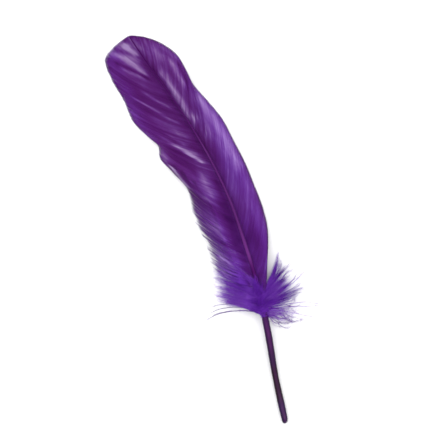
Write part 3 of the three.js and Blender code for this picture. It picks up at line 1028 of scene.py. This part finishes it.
# Locks as (root along the shaft, tip x, y and z); curved ones also name the x and y of their bend
innerDown = {
    "side": -1,
    "locks": {
        "side": [
            (47.6, 1.4, 56, 0.9, 6, 52.8), (48.4, -2, 58.2, 0.8, 3.8, 54.6), (49.4, -5, 58.8, 0.7, 2.4, 55),
            (50.8, -6.8, 60.8, 0.8), (52.6, -7.2, 63.6, 1), (54.4, -6.2, 66.6, 1), (56, -5.6, 69.6, 0.9),
            (57.6, -4.4, 72.4, 1), (50.4, -0.6, 57.4, 2.6), (53.6, -2, 62.8, 2.8), (58.6, -0.5, 69.4, 4),
            (60.5, 3, 73, 5.4), (49.8, -4.4, 59.2, 1.2), (51.8, -5, 62, 1.4), (53.4, -4.6, 65, 1.6),
        ],
        "edge": [(47.2, -4.8, 58.3, 0.6, 2.4, 53.4), (47.4, -2.4, 56.8, 0.6, 3.2, 52.6)],
        "tuft": [(48.6, 3.6, 53.4, 3), (51, 3, 57.8, 3.6), (54, 4.6, 63, 4.8), (57, 7.6, 66.5, 6.6)],
        "hair": [
            (48, -15.8, 53.8, 0.4, -3, 56), (48.6, -13, 56, 0.4, -3, 57.6), (50, -11.4, 58.4, 0.4, -3, 58.6),
            (47.8, -12.4, 54.6, 0.4, -1, 54.6),
        ],
    },
    "seed": 31,
}
outerDown = {
    "side": 1,
    "locks": {
        "side": [
            (50.6, 22.6, 51.8, 1.6), (51.6, 23, 54.8, 2), (53, 23.4, 57.6, 2.4), (54.4, 21.8, 60, 2.6),
            (50.8, 17.6, 53.4, 3.2),
        ],
        "spike": [
            (50, 27, 49.6, 0.8), (51, 30.2, 51.6, 1.2), (54.8, 25.2, 70.6, 2.2, 20.6, 61.6),
        ],
        "clump": [
            (53, 25.4, 58.8, 2, 19.8, 58), (54, 25.4, 62.4, 2, 20.6, 60.4),
            (54.6, 23.6, 65.8, 2.2, 19.8, 61.6), (51.6, 25.8, 55.8, 2),
        ],
        "wisp": [
            (52.4, 30.8, 57.8, 1.2, 24, 54.8), (54.2, 28.4, 63.8, 1.8, 22, 61),
            (53.4, 28, 61.2, 1.8, 22, 58.8), (54.6, 25.8, 66, 2.2, 20.8, 61.6),
            (51, 28.4, 53.6, 1, 23.4, 52.6), (50.4, 29.4, 50.2, 1, 23, 50.2), (55, 24.6, 68, 2.2, 20, 62),
        ],
        "strand": [
            (47.8, 21.6, 42, 0.8, 16, 47.8), (47.4, 20.4, 40.4, 0.8, 14.6, 46),
            (46.9, 19.3, 37, 0.7, 12.6, 42.6), (46.6, 15.8, 39, 0.6, 11.8, 42),
            (48.4, 24.4, 42.6, 0.8, 18.8, 47.8), (48.8, 25.6, 45, 0.8, 20.4, 48.6),
            (49.6, 26.4, 46.4, 0.9, 21.6, 50), (49.2, 24, 47.4, 1, 18, 50), (48, 18.4, 41.4, 1, 15.4, 46.4),
            (47.2, 23.8, 38.4, 0.7, 15.4, 44), (47, 17.2, 38.4, 0.6, 12.2, 44),
        ],
        "loop": [
            (48.4, 22.4, 43.6, 0.7, 18, 47.4), (47.8, 20.6, 41, 0.6, 16, 45.4),
            (47.2, 18, 39.6, 0.6, 14, 43.6), (48.8, 24.6, 45.6, 0.8, 19.4, 49),
            (47, 21.4, 39.6, 0.6, 15.6, 43),
        ],
        "veil": [
            (47, 15, 41, 0.7), (47.6, 19.4, 39.6, 0.6), (48.2, 23, 40.6, 0.6), (48.8, 24.8, 44, 0.7),
            (47.8, 19, 43.6, 0.8),
        ],
        "tuft": [
            (47.4, 11.2, 47.4, 3), (49.4, 14.6, 51, 3.4), (51.2, 18.6, 52, 4), (53.4, 18.4, 57, 4.6),
            (55.6, 13.6, 61, 6), (57.4, 11.4, 64.4, 7.2), (52.4, 14, 58.6, 5), (50, 13, 53, 4.6),
        ],
        "paleHair": [
            (49, 34, 40.6, 0.4, 27, 45), (49.6, 33.4, 42.6, 0.5, 27, 47), (48.8, 27.6, 38, 0.4, 21, 44),
            (52, 33.4, 57.8, 1, 25, 54.6),
        ],
    },
    "seed": 47,
}


def makeDownGuide(name, down):
    kinds = {kind: dict(zip(lockLabels, values)) for kind, values in lockKinds.items()}
    rows = [(kinds[kind], *lock) for kind, locks in down["locks"].items() for lock in locks]
    roots, bends, tips = [], [], []
    for kind, rootAlong, tipX, tipY, tipZ, *bendXY in rows:
        root = shaftCentre(rootAlong)
        root[0] += down["side"] * shaftHalfWidth(rootAlong) * kind["aside"]
        root[2] += kind["above"]
        tip = np.array([tipX, tipY, tipZ])
        bend = root * (1 - downForm["bendAt"]) + tip * downForm["bendAt"]
        bend[:2] = bendXY or bend[:2]
        bend[2] = max(root[2], tipZ) + kind["crown"]
        roots.append(root)
        bends.append(bend)
        tips.append(tip)

    def column(label):
        return np.array([row[0][label] for row in rows])

    lowest, highest = column("tone").T
    chance = np.random.default_rng(down["seed"]).random(len(rows))
    return meshObject(name, toPart(roots), [], {
        "lockBend": toPart(bends), "lockTip": toPart(tips), "lockSpread": column("spread") * mm,
        "lockCurl": np.pad(column("curl"), ((0, 0), (0, 1))) * mm, "lockFluff": column("fluff") * mm,
        "lockShortest": column("shortest"), "lockTone": lowest + (highest - lowest) * chance,
        "lockTipShade": column("tipShade"), "lockScatter": column("scatter"), "lockBarbs": column("barbs"),
    })


def makeDown(name, node, down):
    guide = makeDownGuide(name + "Guide", down)
    blanks = {"Barb": downBlank, "Barbule": barbuleBlank, "Material": downMaterial}
    values = {**downForm["inputs"], "Seed": down["seed"], **blanks}
    piece = growPiece(name, guide, downSprayTree, values)
    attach(piece, "root")
    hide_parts(node)


makeDown("innerDownBarbs", "inner_down", innerDown)
makeDown("outerDownBarbs", "outer_down", outerDown)
for blank in (barbBlank, barbuleBlank, downBlank):
    bpy.data.objects.remove(blank)


# The view, the light and the floor
photoView = {
    "millimetresPerPixel": 0.67657,
    "frameHeight": 444,
    "zoom": 1.57,
    "lean": 21.64,
    "middle": (6.2, 91.0),
    "distance": 1.5,
    "sensorWidth": 36,
    "seesTo": 20,
}


def setCamera(view):
    camera = bpy.data.objects.new("camera", bpy.data.cameras.new("camera"))
    scene.collection.objects.link(camera)
    shownHeight = view["frameHeight"] * view["millimetresPerPixel"] * mm / view["zoom"]
    camera.data.sensor_width = view["sensorWidth"]
    camera.data.lens = view["sensorWidth"] * view["distance"] / shownHeight
    middle = toPart((*view["middle"], 0))
    camera.location = (middle[0], middle[1], view["distance"])
    camera.rotation_euler = (0, 0, math.radians(-view["lean"]))
    camera.data.clip_end = view["seesTo"]
    scene.camera = camera


lights = {
    "keyLight": {"power": 8.8, "size": 1.6, "place": (-0.26, 0.24, 1.08)},
    "fillLight": {"power": 5.0, "size": 1.4, "place": (0.7, -0.3, 1.0)},
}
skyStrength = 0.76


def addLight(name, power, size, place):
    light = bpy.data.objects.new(name, bpy.data.lights.new(name, "AREA"))
    light.data.energy = power
    light.data.size = size
    light.location = place
    light.rotation_euler = (-Vector(place)).to_track_quat("-Z", "Y").to_euler()
    scene.collection.objects.link(light)


def makeFloor():
    half = 3.0
    corners = [(-half, -half, 0), (half, -half, 0), (half, half, 0), (-half, half, 0)]
    floor = meshObject("floor", corners, [(0, 1, 2, 3)])
    material, tree, shader = openMaterial("paleFloor")
    cloud = addMottle(objectPlace(tree), 3.0, 0.1)
    colour = mixColours(cloud, dye(250, 250, 251), dye(253, 253, 254))
    setInputs(shader, {"Base Color": colour, "Roughness": 0.8})
    floor.data.materials.append(material)


setCamera(photoView)
makeFloor()
for name, light in lights.items():
    addLight(name, **light)
world = bpy.data.worlds.new("studio")
world.use_nodes = True
setInputs(world.node_tree.nodes["Background"], {"Color": (1, 1, 1, 1), "Strength": skyStrength})
scene.world = world
scene.view_settings.view_transform = "Standard"
print("camera, floor and light set")
